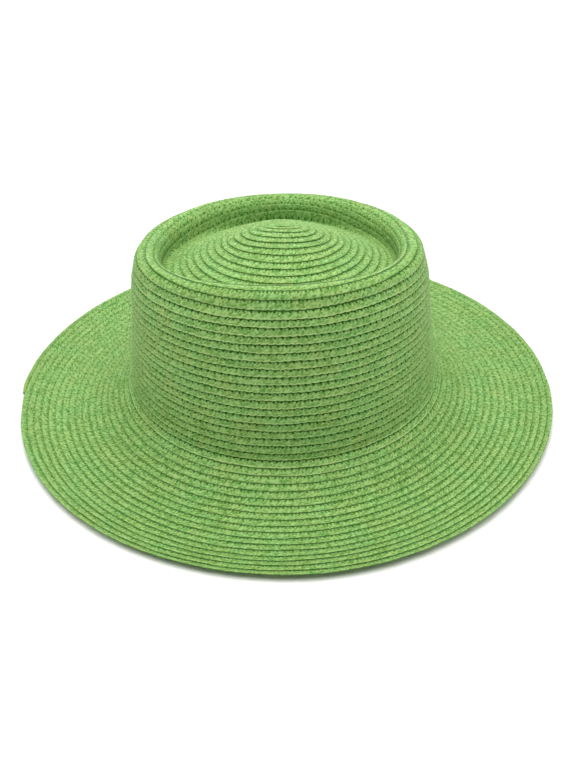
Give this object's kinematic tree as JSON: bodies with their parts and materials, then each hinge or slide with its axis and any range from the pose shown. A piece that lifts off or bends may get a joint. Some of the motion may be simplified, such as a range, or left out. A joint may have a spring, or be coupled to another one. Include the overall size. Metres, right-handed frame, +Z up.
{
  "type": "straw hat",
  "caption": "Wide-brimmed hat of sewn straw braid with a telescope crown: a low dome inside a groove and a rolled rim, straight sides and a gently curved oval brim.",
  "frame": {"origin": "middle of the hat's box in plan, on the surface that the brim rests on", "axes": "+Z up through the crown, -Y towards the front of the hat, +X towards the wearer's left"},
  "size_m": [0.3248, 0.3535, 0.1172],
  "materials": {
    "straw_braid": "dyed paper straw braid, matt with a faint satin ridge on each row"
  },
  "bodies": {
    "root": {"crown_tip": "straw_braid", "crown_side": "straw_braid", "brim": "straw_braid"}
  },
  "joints": []
}
